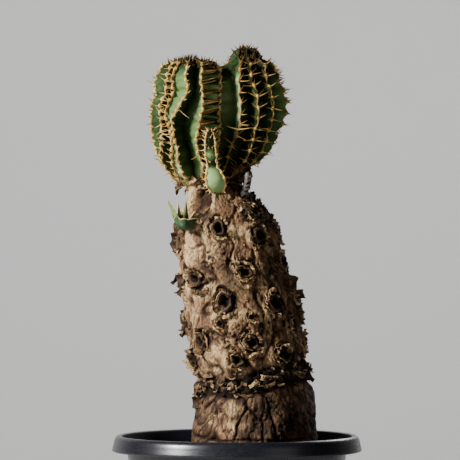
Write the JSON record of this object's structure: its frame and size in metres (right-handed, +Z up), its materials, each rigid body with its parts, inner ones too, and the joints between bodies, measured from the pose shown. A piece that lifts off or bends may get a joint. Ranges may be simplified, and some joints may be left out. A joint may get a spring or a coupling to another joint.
{
  "type": "potted caudex plant",
  "caption": "Thick leaning caudex trunk with cratered branch scars and dry bark flaps, crowned by spiny ribbed green stems, in a plain round plastic nursery pot.",
  "frame": {"origin": "centre of the pot's flat underside, on the surface that the pot stands on", "axes": "+Z up, -Y toward the side with the small front stem and the side shoot, +X right as seen from there"},
  "size_m": [0.18, 0.18, 0.4324],
  "materials": {
    "pot": "satin",
    "soil": "matte",
    "trunk": "matte",
    "left_stem": "satin",
    "left_stem_margins": "matte",
    "right_stem": "satin",
    "right_stem_margins": "matte",
    "centre_stem": "satin",
    "centre_stem_margins": "matte",
    "side_shoot": "satin",
    "dead_branch": "matte"
  },
  "bodies": {
    "root": {"pot": "pot", "soil": "soil", "trunk": "trunk", "left_stem": "left_stem", "left_stem_margins": "left_stem_margins", "right_stem": "right_stem", "right_stem_margins": "right_stem_margins", "centre_stem": "centre_stem", "centre_stem_margins": "centre_stem_margins", "side_shoot": "side_shoot", "dead_branch": "dead_branch"}
  },
  "joints": []
}
